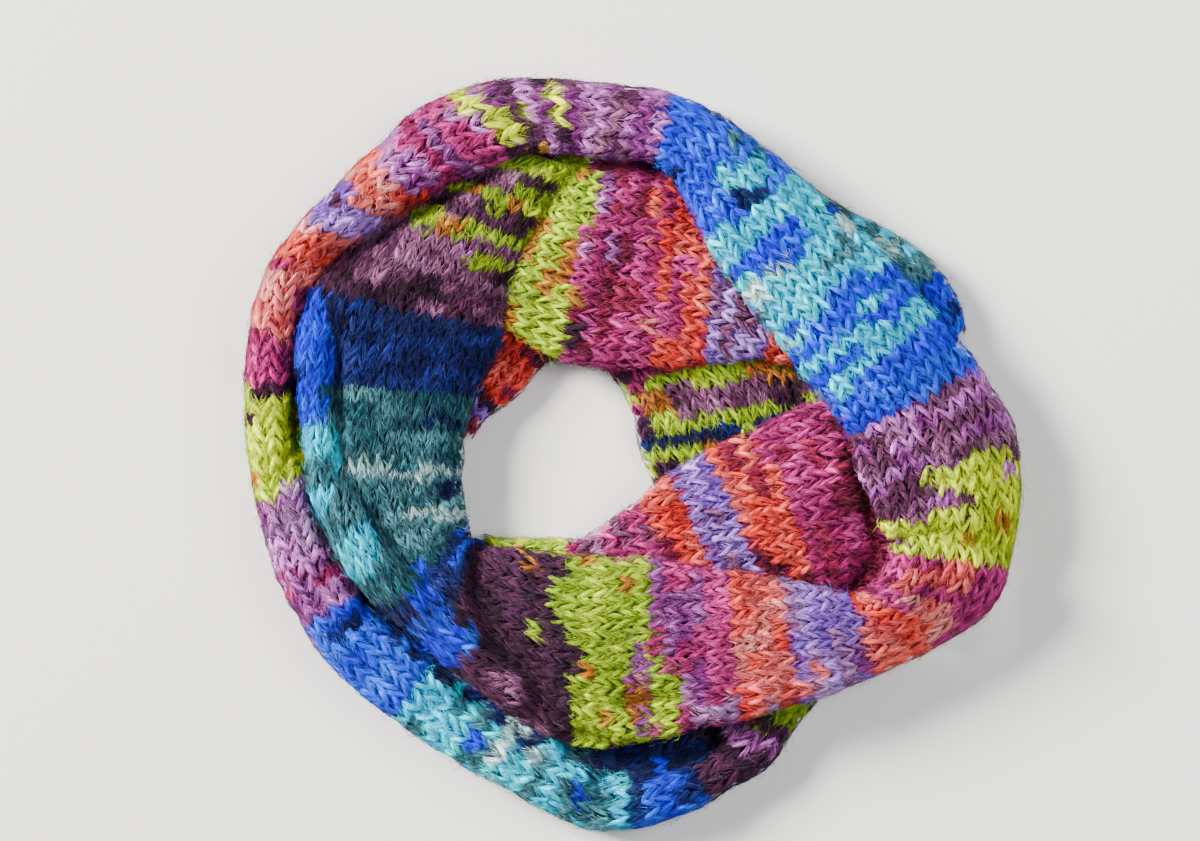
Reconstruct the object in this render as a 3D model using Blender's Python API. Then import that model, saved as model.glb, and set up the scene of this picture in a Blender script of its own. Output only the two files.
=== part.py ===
"""Infinity scarf, laid down in a coil: one knitted tube, flattened, wound round the neck hole.

The tube lies in stretches. Each is a loft through sections: a flattened tube, seen end on, with its
outer edge away from the neck hole and its inner edge towards it. Tables give the sections' places in
millimetres; +Z is up and the scarf rests on z = 0.
"""

from collections import namedtuple
from math import pi

import bpy
import numpy as np
from mathutils import Vector
from mathutils.bvhtree import BVHTree

MM = 0.001

# How the solids are drawn
RING_POINTS = 20  # points round one section
STEPS = 2  # sections lofted for each row of a table
SEAM_GAP = 0.3  # between the ends of neighbouring stretches
ROLL_SQUARENESS = 2.2  # exponent of a rolled tube's rounded section
FLAT_SQUARENESS = 3.2  # exponent of a flat tube's section

# The windings underneath: two layers of tube
HIGHEST_BED = 17.0  # they come no higher
LOWEST_BED = 2.5
BEDDING = 1.2  # they stay this far below what lies on them
REACH = 5.0  # a point of theirs also clears what lies this far to its side
LAYER_GROOVE = 1.8  # depth of the groove where two layers' rounded edges meet
LAYER_EDGE = ((1, 0), (0, 0.25), (1, 0.5), (0, 0.75), (1, 1))  # grooves drawn in, share of the height
ACROSS_BED = (0.2, 0.4, 0.6, 0.8)  # points from the edge at the hole to the outer edge
BED_STEPS = 3

# One section of the tube: its two folded edges in plan, the height of each edge's middle, the
# thickness there, and how far the middle arches above the line between the edges.
Section = namedtuple(
    "Section",
    "outer_x outer_y inner_x inner_y outer_mid inner_mid outer_thick inner_thick rise",
)

# The band in one run, clockwise from its lower right end, round nearly twice. A name opens a stretch.
BAND = (
    ("bottom_outer_stretch", (
        Section(100, -88, 76, -66, 6, 6, 11, 10, 0),
        Section(90, -100, 60, -78, 7, 7, 12, 11, 1),
        Section(75, -118, 45, -98, 8, 7, 14, 11, 1),
        Section(61, -138, 33, -110, 9, 7, 16, 10, 2),
        Section(33, -155, 18, -120, 10, 7, 19, 9, 2),
        Section(6, -165, 2, -126, 12, 6, 22, 8, 1),
        Section(-21, -166, -13, -126, 12, 6, 25, 8, 0),
        Section(-51, -151, -35, -118, 13, 6, 27, 9, 0),
        Section(-82, -134, -62, -102, 13, 6, 27, 9, 0),
        Section(-111, -114, -87, -83, 13, 7, 27, 10, 0),
        Section(-138, -89, -110, -66, 13, 7, 27, 11, 0),
    )),
    ("left_outer_stretch", (
        Section(-156, -58, -127, -44, 13, 7, 27, 12, 0),
        Section(-167, -25, -136, -16, 13, 7, 27, 12, 0),
        Section(-172, 11, -141, 13, 13, 7, 27, 12, 0),
        Section(-172, 43, -144, 44, 13, 8, 27, 14, 0),
        Section(-166, 74, -146, 73, 14, 14, 28, 20, 0),
        Section(-151, 100, -131, 94, 14, 18, 29, 20, 0),
        Section(-132, 119, -110, 107, 15, 21, 30, 18, 0),
        Section(-111, 140, -90, 119, 15, 23, 31, 16, 0),
    )),
    ("top_outer_stretch", (
        Section(-90, 157, -69, 129, 15, 24, 32, 14, 0),
        Section(-62, 166, -47, 137, 15, 25, 32, 13, 0),
        Section(-33, 167, -30, 137, 15, 25, 32, 13, 0),
        Section(-6, 164, -9, 135, 15, 25, 31, 13, 0),
    )),
    ("crossing_stretch", (
        Section(15, 161, 10, 133, 15, 26, 30, 13, 0),
        Section(36, 152, 20, 124, 16, 27, 27, 12, 1),
        Section(61, 134, 31, 102, 19, 29, 18, 11, 3),
        Section(84, 115, 45, 80, 20, 31, 11, 9, 4),
        Section(107, 94, 61, 58, 21, 32, 10, 9, 5),
        Section(129, 70, 81, 32, 21, 32, 10, 9, 5),
        Section(151, 42, 97, 11, 20, 31, 12, 9, 5),
        Section(169, 14, 103, -9, 16, 30, 18, 9, 5),
    )),
    ("right_turn", (
        Section(173, -16, 111, -29, 13, 30, 24, 9, 5),
        Section(169, -44, 117, -40, 13, 30, 25, 10, 5),
        Section(159, -68, 110, -57, 15, 30, 22, 10, 5),
        Section(134, -85, 101, -64, 20, 31, 16, 10, 4),
    )),
    ("front_stretch", (
        Section(103, -99, 89, -62, 24, 32, 11, 9, 3),
        Section(73, -109, 64, -56, 25, 32, 10, 9, 3),
        Section(39, -119, 36, -52, 24, 30, 10, 9, 3),
        Section(6, -126, 6, -48, 22, 26, 10, 9, 3),
        Section(-19, -131, -21, -47, 20, 22, 10, 9, 3),
        Section(-44, -122, -51, -44, 20, 18, 11, 9, 2),
        Section(-69, -104, -70, -42, 21, 15, 12, 9, 2),
    )),
    ("left_inner_stretch", (
        Section(-93, -83, -75, -38, 22, 15, 13, 9, 2),
        Section(-116, -64, -77, -32, 23, 15, 14, 9, 2),
        Section(-133, -40, -78, -22, 24, 15, 14, 9, 1),
        Section(-142, -14, -79, -10, 25, 15, 14, 9, 1),
        Section(-146, 16, -77, 11, 25, 15, 14, 9, 1),
        Section(-149, 38, -70, 32, 25, 15, 14, 9, 1),
        Section(-147, 58, -63, 47, 24, 16, 13, 9, 2),
        Section(-141, 76, -60, 58, 20, 16, 12, 9, 3),
        Section(-125, 95, -57, 64, 14, 16, 10, 9, 5),
        Section(-104, 112, -56, 66, 12, 16, 9, 9, 7),
        Section(-83, 126, -54, 67, 11, 16, 9, 9, 9),
    )),
    ("top_inner_stretch", (
        Section(-57, 137, -51, 64, 11, 16, 9, 9, 9),
        Section(-33, 140, -39, 55, 11, 16, 9, 9, 8),
        Section(-10, 139, -21, 42, 11, 17, 9, 9, 7),
        Section(12, 136, 3, 40, 11, 17, 9, 9, 7),
        Section(37, 123, 30, 42, 12, 17, 8, 9, 5),
        Section(64, 99, 55, 44, 13, 16, 8, 9, 3),
        Section(89, 74, 78, 40, 14, 15, 8, 8, 1),
    )),
)

# The tube's inner half, folded down behind the front stretch, from the right turn to the hole's rim
INNER_HALF = (
    ("inner_fold", (
        Section(130, -58, 111, 7, 13, 15, 8, 9, 2),
        Section(111, -68, 89, 23, 15, 18, 9, 9, 4),
        Section(89, -68, 62, 14, 17, 19, 9, 9, 5),
        Section(71, -65, 42, 4, 17, 19, 9, 9, 5),
        Section(53, -63, 26, -4, 16, 19, 9, 9, 5),
        Section(33, -61, 10, -16, 14, 17, 9, 10, 4),
        Section(12, -58, -1, -26, 12, 13, 9, 10, 3),
        Section(-6, -56, -15, -35, 9, 9, 9, 10, 1),
    )),
    ("inner_rim", (
        Section(-19, -54, -24, -41, 7, 7, 9, 10, 0),
        Section(-35, -53, -35, -40, 5, 5, 9, 10, 0),
        Section(-51, -50, -51, -40, 5, 5, 9, 10, 0),
        Section(-64, -47, -64, -39, 5, 5, 8, 9, 0),
        Section(-77, -44, -76, -34, 4, 4, 7, 8, 0),
    )),
)

# What shows of the lowest winding, right and left of the hole
LOWEST_RIGHT = (
    ("lowest_right_stretch", (
        Section(62, 65, -15, 46, 7, 6, 14, 12, 0),
        Section(75, 54, -5, 34, 7, 5.5, 13, 11, 0),
        Section(89, 40, 2, 20, 7, 5, 13, 10, 0),
        Section(98, 25, 5, 6, 6, 5, 12, 10, 0),
        Section(105, 7, 9, -8, 6, 5, 12, 10, 0),
        Section(109, -11, 16, -20, 6, 5, 11, 10, 0),
    )),
)
LOWEST_LEFT = (
    ("lowest_left_stretch", (
        Section(-93, 16, -76, 7, 6, 6, 12, 12, 0),
        Section(-87, 32, -69, 16, 6, 6, 12, 12, 0),
        Section(-75, 50, -54, 28, 6, 6, 12, 12, 0),
        Section(-57, 65, -40, 44, 6, 6, 12, 12, 0),
        Section(-33, 70, -24, 46, 6, 6, 12, 12, 0),
    )),
)

# The layer whose edge shows outside the crossing stretch
UNDERLAP = (
    ("crossing_underlap", (
        Section(75, 124, 67, 112, 4, 5, 8, 9, 0),
        Section(94, 110, 82, 96, 6, 11, 12, 22, 0),
        Section(114, 100, 98, 81, 7, 11.5, 14, 23, 0),
        Section(133, 87, 113, 66, 7, 11.5, 14, 23, 0),
        Section(146, 68, 125, 49, 7, 11, 14, 22, 0),
        Section(150, 47, 132, 34, 4, 6, 8, 12, 0),
    )),
)

# The hidden windings in plan: their edge towards the hole and their outer edge, clockwise
Bed = namedtuple("Bed", "inner_x inner_y outer_x outer_y")
HIDDEN = (
    Bed(-81, -7, -136, -7),
    Bed(-82, -29, -130, -36),
    Bed(-77, -47, -114, -59),
    Bed(-60, -54, -86, -84),
    Bed(-33, -58, -40, -112),
    Bed(-6, -62, -6, -119),
    Bed(24, -56, 14, -102),
    Bed(42, -50, 34, -84),
    Bed(60, -45, 58, -68),
    Bed(82, -38, 90, -58),
    Bed(100, -32, 124, -76),
    Bed(116, -20, 148, -62),
    Bed(120, -2, 160, -29),
    Bed(116, 25, 154, 7),
    Bed(106, 42, 122, 32),
    Bed(84, 66, 101, 60),
    Bed(66, 78, 75, 90),
    Bed(30, 76, 40, 126),
    Bed(-1, 64, 4, 136),
    Bed(-24, 78, -33, 140),
    Bed(-56, 76, -68, 130),
    Bed(-82, 60, -104, 110),
    Bed(-94, 40, -130, 88),
    Bed(-100, 20, -138, 60),
    Bed(-96, 4, -137, 29),
)

# Yarn colours, linear RGB, one for each sub-part
COLOURS = {
    "bottom_outer_stretch": (0.10, 0.45, 0.60),
    "left_outer_stretch": (0.65, 0.12, 0.22),
    "top_outer_stretch": (0.45, 0.14, 0.36),
    "crossing_stretch": (0.08, 0.42, 0.62),
    "right_turn": (0.48, 0.62, 0.05),
    "front_stretch": (0.40, 0.06, 0.18),
    "left_inner_stretch": (0.04, 0.22, 0.26),
    "top_inner_stretch": (0.42, 0.07, 0.14),
    "inner_fold": (0.55, 0.08, 0.06),
    "inner_rim": (0.18, 0.04, 0.10),
    "lowest_right_stretch": (0.42, 0.55, 0.05),
    "lowest_left_stretch": (0.50, 0.08, 0.04),
    "crossing_underlap": (0.03, 0.20, 0.22),
    "hidden_windings": (0.14, 0.05, 0.12),
}
WOOL_ROUGHNESS = 0.95


def clear_scene():
    for thing in list(bpy.data.objects):
        bpy.data.objects.remove(thing, do_unlink=True)


def wool(name):
    """A dull Principled wool in the sub-part's main colour."""
    material = bpy.data.materials.new(name)
    material.use_nodes = True
    shader = material.node_tree.nodes["Principled BSDF"]
    shader.inputs["Base Color"].default_value = (*COLOURS[name], 1.0)
    shader.inputs["Roughness"].default_value = WOOL_ROUGHNESS
    shader.inputs["Metallic"].default_value = 0.0
    return material


def smooth_rows(rows, places, closed=False):
    """Rows of numbers read from a Catmull-Rom curve through the table, at each place along it."""
    rows = np.array(rows, float)
    count = len(rows)
    first = np.floor(places).astype(int)
    if not closed:
        first = np.clip(first, 0, count - 2)
    t = (np.asarray(places) - first)[:, None]

    def row(offset):
        index = first + offset
        return rows[index % count if closed else np.clip(index, 0, count - 1)]

    before, here, after, beyond = (row(offset) for offset in (-1, 0, 1, 2))
    return 0.5 * (
        2 * here
        + (after - before) * t
        + (2 * before - 5 * here + 4 * after - beyond) * t**2
        + (3 * here - before - 3 * after + beyond) * t**3
    )


def rounded(value, exponent):
    """A cosine or sine flattened into a superellipse's."""
    return np.sign(value) * np.abs(value) ** (2 / exponent)


def rings_of(rows):
    """The ring of points round each section, first along the top from the outer edge to the inner."""
    turn = np.linspace(0, 2 * pi, RING_POINTS, endpoint=False)[None, :]
    outer_x, outer_y, inner_x, inner_y, outer_mid, inner_mid, outer_thick, inner_thick, rise = (
        column[:, None] for column in rows.T
    )
    width = np.hypot(inner_x - outer_x, inner_y - outer_y)
    rolled = np.clip(outer_thick / width, 0, 1)
    squareness = FLAT_SQUARENESS + (ROLL_SQUARENESS - FLAT_SQUARENESS) * rolled
    across = -rounded(np.cos(turn), squareness)
    share = (1 + across) / 2
    slope = share ** (1 + rolled)
    thick = outer_thick + (inner_thick - outer_thick) * slope
    middle = outer_mid + (inner_mid - outer_mid) * slope + rise * (1 - across**2)
    x = outer_x + (inner_x - outer_x) * share
    y = outer_y + (inner_y - outer_y) * share
    z = middle + rounded(np.sin(turn), squareness) * thick / 2
    return np.stack([x, y, np.maximum(z, 0)], axis=2)


def seam_apart(rings):
    """Rings whose two end sections are drawn back by half the seam gap."""
    for end, inside in ((0, 1), (-1, -2)):
        inward = rings[inside] - rings[end]
        length = np.linalg.norm(inward, axis=1, keepdims=True)
        rings[end] += inward / np.maximum(length, SEAM_GAP) * SEAM_GAP / 2
    return rings


def add_loft(name, rings, collection, closed=False):
    """A closed solid through the rings: a skin of quads and, unless the loft is closed, two end caps."""
    count, points = rings.shape[:2]
    index = np.arange(count * points).reshape(count, points)
    here = index if closed else index[:-1]
    after = np.roll(index, -1, axis=0) if closed else index[1:]
    skin = np.stack([here, np.roll(here, -1, 1), np.roll(after, -1, 1), after], axis=2)
    faces = skin.reshape(-1, 4).tolist()
    if not closed:
        faces += [index[0][::-1].tolist(), index[-1].tolist()]
    mesh = bpy.data.meshes.new(name)
    mesh.from_pydata((rings.reshape(-1, 3) * MM).tolist(), [], faces)
    mesh.validate()
    mesh.shade_smooth()
    mesh.materials.append(wool(name))
    thing = bpy.data.objects.new(name, mesh)
    collection.objects.link(thing)
    return thing


def add_run(run, collection):
    """The stretches of one run of the tube, lofted from one smooth curve so that they meet."""
    table = [section for _, sections in run for section in sections]
    made = []
    first = 0
    for name, sections in run:
        last = min(first + len(sections), len(table) - 1)
        places = np.linspace(first, last, (last - first) * STEPS + 1)
        rings = seam_apart(rings_of(smooth_rows(table, places)))
        made.append(add_loft(name, rings, collection))
        first = last
    return made


def lowest_above(trees, x, y):
    """The height of the first thing met going up from the table at (x, y), within REACH of it."""
    lowest = HIGHEST_BED + BEDDING
    for dx in (-REACH, 0, REACH):
        for dy in (-REACH, 0, REACH):
            start = Vector(((x + dx) * MM, (y + dy) * MM, -MM))
            for tree in trees:
                hit = tree.ray_cast(start, Vector((0, 0, 1)))[0]
                if hit is not None:
                    lowest = min(lowest, hit.z / MM)
    return max(lowest - BEDDING, LOWEST_BED)


def bed_ring(inner, outer, trees):
    """One section of the hidden windings, from the table up the outer edge and back down the inner."""
    across = outer - inner
    edge_in = across / np.linalg.norm(across) * LAYER_GROOVE
    top_inner = lowest_above(trees, *(inner + edge_in))
    top_outer = lowest_above(trees, *(outer - edge_in))
    up = [(*(outer - edge_in * drawn), top_outer * share) for drawn, share in LAYER_EDGE]
    tops = [inner + across * share for share in reversed(ACROSS_BED)]
    over = [(*place, lowest_above(trees, *place)) for place in tops]
    down = [(*(inner + edge_in * drawn), top_inner * share) for drawn, share in reversed(LAYER_EDGE)]
    under = [(*(inner + across * share), 0) for share in ACROSS_BED]
    return (up + over + down + under)[::-1]


def add_hidden_windings(stretches, collection):
    """A rounded ring that fills the space under the stretches: flat below, grooved between its layers."""
    trees = []
    for thing in stretches:
        corners = [vertex.co for vertex in thing.data.vertices]
        trees.append(BVHTree.FromPolygons(corners, [face.vertices for face in thing.data.polygons]))
    places = np.arange(len(HIDDEN) * BED_STEPS) / BED_STEPS
    rings = [bed_ring(row[:2], row[2:], trees) for row in smooth_rows(HIDDEN, places, closed=True)]
    return add_loft("hidden_windings", np.array(rings), collection, closed=True)


def centre_in_plan(things):
    """Moves the whole scarf so that its box is centred on the Z axis."""
    corners = np.array([vertex.co for thing in things for vertex in thing.data.vertices])
    middle = (corners.min(axis=0) + corners.max(axis=0)) / 2
    for thing in things:
        for vertex in thing.data.vertices:
            vertex.co.x -= middle[0]
            vertex.co.y -= middle[1]


def build():
    clear_scene()
    scarf = bpy.data.collections.new("infinity_scarf")
    bpy.context.scene.collection.children.link(scarf)
    stretches = []
    for run in (BAND, INNER_HALF, LOWEST_RIGHT, LOWEST_LEFT, UNDERLAP):
        stretches += add_run(run, scarf)
    hidden = add_hidden_windings(stretches, scarf)
    centre_in_plan([*stretches, hidden])


build()
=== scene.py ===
"""Infinity scarf: one knitted tube of brushed, self-striping wool, laid down in a coil.

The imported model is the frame. Each stretch of the tube gets a thin knitted shell, its stitches and its
haze of loose fibres. Lengths are in millimetres and are scaled to metres as each mesh is made.
"""

from collections import namedtuple

import bmesh
import bpy
import numpy as np
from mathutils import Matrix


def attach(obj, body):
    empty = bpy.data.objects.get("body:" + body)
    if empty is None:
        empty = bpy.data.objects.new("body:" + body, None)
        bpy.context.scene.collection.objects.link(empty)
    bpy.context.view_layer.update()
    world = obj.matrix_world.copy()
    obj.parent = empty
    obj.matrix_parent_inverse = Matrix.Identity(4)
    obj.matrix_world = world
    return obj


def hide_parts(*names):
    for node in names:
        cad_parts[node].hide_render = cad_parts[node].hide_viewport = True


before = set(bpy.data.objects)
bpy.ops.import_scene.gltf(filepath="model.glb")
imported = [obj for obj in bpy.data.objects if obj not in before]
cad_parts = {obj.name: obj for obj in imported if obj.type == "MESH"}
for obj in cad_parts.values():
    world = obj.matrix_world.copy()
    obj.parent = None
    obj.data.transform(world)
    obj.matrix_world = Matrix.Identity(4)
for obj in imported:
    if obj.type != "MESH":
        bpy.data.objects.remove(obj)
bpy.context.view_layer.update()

# ---- The lower outer stretch ----
# The lowest run of the tube: plum, blue and aqua wool, knitted round in stocking stitch, so that only
# V's show. It comes out under the front stretch and lies on the table as a soft roll. The knitting, the
# yarn and the brushed finish of the whole tube are worked out here, where they are first needed.

MM = 0.001
ROW = 6.2  # from one row of stitches to the next
WALES = 15  # stitches laid each way from the crest of the tube
ROW_LINES, WALE_LINES = 2, 4  # grid lines for each row and each stitch
TURN = np.linspace(-np.pi / 2, 1.5 * np.pi, 241)  # round a section, from below, over its top, and back
CREST = 120  # the index of the section's highest line in TURN
SHELL_SINK = 1.1  # the shell lies this far under the yarn's crests
SHELL_WALL = 1.2
SQUARENESS = 3.2  # exponent of a flat section's superellipse; a round roll's is one less

# One section of the tube: its two folded edges in plan, the height of each edge's middle, the
# thickness there, and how far the middle arches above the line between the edges.
Section = namedtuple(
    "Section", "outer_x outer_y inner_x inner_y outer_mid inner_mid outer_thick inner_thick rise"
)


def table(columns, *rows):
    """Rows of values under the names of their columns."""
    return tuple(columns(*row) for row in rows)


# The band in one run, clockwise, until it dips under the roll at the top
BAND = table(
    Section,
    (100, -88, 76, -66, 6, 6, 11, 10, 0),
    (90, -100, 60, -78, 7, 7, 12, 11, 1),
    (75, -118, 45, -98, 8, 7, 14, 11, 1),
    (61, -138, 33, -110, 9, 7, 16, 10, 2),
    (33, -155, 18, -120, 10, 7, 19, 9, 2),
    (6, -165, 2, -126, 12, 6, 22, 8, 1),
    (-21, -166, -13, -126, 12, 6, 25, 8, 0),
    (-51, -151, -35, -118, 13, 6, 27, 9, 0),
    (-82, -134, -62, -102, 13, 6, 27, 9, 0),
    (-111, -114, -87, -83, 13, 7, 27, 10, 0),
    (-138, -89, -110, -66, 13, 7, 27, 11, 0),
    (-156, -58, -127, -44, 13, 7, 27, 12, 0),  # 11, the left outer stretch
    (-167, -25, -136, -16, 13, 7, 27, 12, 0),
    (-172, 11, -141, 13, 13, 7, 27, 12, 0),
    (-172, 43, -144, 44, 13, 8, 27, 14, 0),
    (-166, 74, -146, 73, 14, 14, 28, 20, 0),
    (-151, 100, -131, 94, 14, 18, 29, 20, 0),
    (-132, 119, -110, 107, 15, 21, 30, 18, 0),
    (-111, 140, -90, 119, 15, 23, 31, 16, 0),
    (-90, 157, -69, 129, 15, 24, 32, 14, 0),  # 19, the top outer stretch
    (-62, 166, -47, 137, 15, 25, 32, 13, 0),
    (-33, 167, -30, 137, 15, 25, 32, 13, 0),
    (-6, 164, -9, 135, 15, 25, 31, 13, 0),
    (15, 161, 10, 133, 15, 26, 30, 13, 0),  # 23, the crossing stretch
    (36, 152, 20, 124, 16, 27, 27, 12, 1),
    (61, 134, 31, 102, 19, 29, 18, 11, 3),
    (84, 115, 45, 80, 20, 31, 11, 9, 4),
    (107, 94, 61, 58, 21, 32, 10, 9, 5),
    (129, 70, 81, 32, 21, 32, 10, 9, 5),
    (151, 42, 97, 11, 20, 31, 12, 9, 5),
    (169, 14, 103, -9, 16, 30, 18, 9, 5),
    (173, -16, 111, -29, 13, 30, 24, 9, 5),  # 31, the right turn
    (169, -44, 117, -40, 13, 30, 25, 10, 5),
    (159, -68, 110, -57, 15, 30, 22, 10, 5),
    (134, -85, 101, -64, 20, 31, 16, 10, 4),
    (103, -99, 89, -62, 24, 32, 11, 9, 3),  # 35, the front stretch
    (73, -109, 64, -56, 25, 32, 10, 9, 3),
    (39, -119, 36, -52, 24, 30, 10, 9, 3),
    (6, -126, 6, -48, 22, 26, 10, 9, 3),
    (-19, -131, -21, -47, 20, 22, 10, 9, 3),
    (-44, -122, -51, -44, 20, 18, 11, 9, 2),
    (-69, -104, -70, -42, 21, 15, 12, 9, 2),
    (-93, -83, -75, -38, 22, 15, 13, 9, 2),  # 42, the left inner stretch
    (-116, -64, -77, -32, 23, 15, 14, 9, 2),
    (-133, -40, -78, -22, 24, 15, 14, 9, 1),
    (-142, -14, -79, -10, 25, 15, 14, 9, 1),
    (-146, 16, -77, 11, 25, 15, 14, 9, 1),
    (-149, 38, -70, 32, 25, 15, 14, 9, 1),
    (-147, 58, -63, 47, 24, 16, 13, 9, 2),
    (-141, 76, -60, 58, 20, 16, 12, 9, 3),
    (-127, 94, -54, 70, 14, 16, 10, 9, 5),
    (-110, 108, -46, 85, 12, 16, 9, 9, 6),
    (-92, 121, -38, 101, 11, 16, 9, 9, 7),
    (-72, 131, -31, 116, 11, 16, 9, 9, 7),
    (-52, 138, -24, 130, 11, 15, 9, 9, 7),
)

# Width of a stitch along the band, (section, mm): the tube is stretched where it crosses and slack below
BAND_STITCH = ((0, 7.4), (4, 8.2), (10, 8.8), (20, 8.8), (24, 8.0), (27, 7.7), (33, 7.7), (38, 7.4),
               (41, 7.0), (44, 6.3), (50, 6.3), (54, 6.6))
# How far the lines of stitches have moved across the tube, (section, mm)
BAND_SLIP = ((0, 0), (49, 0), (50, -1.5), (51, -8), (52, -15), (53, -22), (54, -27))

# The yarn's colours, sRGB: the deep fibres and the pale ones spun with them
YARN = {
    "magenta": ((136, 14, 78), (212, 62, 146)),
    "red": ((84, 2, 34), (146, 26, 66)),
    "orange": ((204, 34, 30), (255, 112, 98)),
    "salmon": ((212, 70, 72), (255, 168, 160)),
    "violet": ((108, 58, 168), (206, 156, 248)),
    "plum": ((36, 6, 30), (80, 30, 68)),
    "mauve": ((112, 28, 106), (222, 134, 222)),
    "heather": ((76, 24, 58), (158, 98, 140)),
    # painted light: a paler mauve for where daylight falls on mauve
    "painted_lit_mauve": ((140, 80, 142), (232, 180, 232)),
    "blue": ((0, 18, 215), (42, 116, 255)),
    "navy": ((0, 8, 62), (20, 36, 116)),
    "aqua": ((0, 184, 228), (0, 250, 255)),
    "teal": ((20, 74, 88), (84, 142, 150)),
    "cream": ((150, 198, 198), (214, 240, 236)),
    "lime": ((126, 158, 0), (196, 224, 0)),
    # painted light: the lime made brighter where daylight falls on it
    "painted_sunlit_lime": ((186, 212, 0), (242, 255, 0)),  # lime in daylight
    "golden": ((150, 78, 10), (222, 152, 44)),
}
TONES = list(YARN)


def linear(colour):
    """sRGB from 0 to 255 as linear light: the standard curve, part by part."""
    share = np.asarray(colour, float) / 255
    return np.where(share <= 0.04045, share / 12.92, ((share + 0.055) / 1.055) ** 2.4)


def smooth_rows(rows, places):
    """Rows of numbers read from a Catmull-Rom curve through a table, at each place along it."""
    rows = np.array(rows, float)
    first = np.clip(np.floor(places).astype(int), 0, len(rows) - 2)
    t = (np.asarray(places) - first)[:, None]
    before, here, after, beyond = (rows[np.clip(first + k, 0, len(rows) - 1)] for k in (-1, 0, 1, 2))
    return 0.5 * (
        2 * here
        + (after - before) * t
        + (2 * before - 5 * here + 4 * after - beyond) * t**2
        + (3 * here - before - 3 * after + beyond) * t**3
    )


def rounded(value, exponent):
    """A cosine or sine flattened into a superellipse's."""
    return np.sign(value) * np.abs(value) ** (2 / exponent)


def tube(rows):
    """Rings round a flattened tube. Across the section runs a flattened cosine and up it a flattened
    sine, times half the thickness; thickness and height go from the outer edge's to the inner's."""
    outer_x, outer_y, inner_x, inner_y, outer_mid, inner_mid, outer_thick, inner_thick, rise = (
        column[:, None] for column in rows.T
    )
    width = np.hypot(inner_x - outer_x, inner_y - outer_y)
    rolled = np.clip(outer_thick / width, 0, 1)
    squareness = SQUARENESS - rolled
    across = -rounded(np.cos(TURN)[None, :], squareness)
    share = (1 + across) / 2
    slope = share ** (1 + rolled)
    thick = outer_thick + (inner_thick - outer_thick) * slope
    middle = outer_mid + (inner_mid - outer_mid) * slope + rise * (1 - across**2)
    x = outer_x + (inner_x - outer_x) * share
    y = outer_y + (inner_y - outer_y) * share
    z = middle + rounded(np.sin(TURN)[None, :], squareness) * thick / 2
    return np.stack([x, y, z], axis=2)


def unit(vectors):
    """The same directions at length 1."""
    return vectors / np.maximum(np.linalg.norm(vectors, axis=2, keepdims=True), 1e-9)


def outward(grid):
    """Unit normals of a grid of points: the cross product of its two directions."""
    return unit(np.cross(np.gradient(grid, axis=1), np.gradient(grid, axis=0)))


# A soft ridge (height over 0) or trough along a line in plan
Fold = namedtuple("Fold", "line width height")
LONG_WAVE, SHORT_WAVE = 0.55, 0.45  # heights of the waves in slack cloth


def distance_to_line(x, y, line):
    """How far each point in plan is from a bent line."""
    nearest = np.full(x.shape, np.inf)
    for (ax, ay), (bx, by) in zip(line, line[1:]):
        run = (bx - ax, by - ay)
        t = np.clip(((x - ax) * run[0] + (y - ay) * run[1]) / (run[0] ** 2 + run[1] ** 2), 0, 1)
        nearest = np.minimum(nearest, np.hypot(x - ax - run[0] * t, y - ay - run[1] * t))
    return nearest


def relieved(grid, folds):
    """Rings with their folds and the slack of hand-laid cloth: bell-shaped ridges and troughs on what
    faces up, and long low waves all over, both along the normal. Nothing goes below the table."""
    normal = outward(grid)
    x, y, z = (grid[:, :, k] for k in range(3))
    up = np.clip(normal[:, :, 2], 0, 1)
    lift = LONG_WAVE * np.sin(x / 6.1 + y / 11.3 + 1.0) * np.sin(y / 7.7 - x / 13.0 + z / 5.0)
    lift += SHORT_WAVE * np.sin(x / 3.9 - y / 5.3) * np.sin(y / 4.7 + z / 4.0 + 2.0)
    for fold in folds:
        lift = lift + up * fold.height * np.exp(-((distance_to_line(x, y, fold.line) / fold.width) ** 2))
    grid = grid + normal * lift[:, :, None]
    grid[:, :, 2] = np.maximum(grid[:, :, 2], 0)
    return grid


def arc_length(lines):
    """How far each point of each line is from its first one, along the line."""
    steps = np.linalg.norm(np.diff(lines, axis=1), axis=2)
    return np.concatenate([np.zeros((len(lines), 1)), np.cumsum(steps, axis=1)], axis=1)


# Knitted cloth laid on a run of the tube, on a grid of rows and of stitches either side of the crest
Cloth = namedtuple("Cloth", "points normals shown section row_at rings ring_normals width")
CREST_STEPS = 12  # steps for each section while the crest is measured


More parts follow.
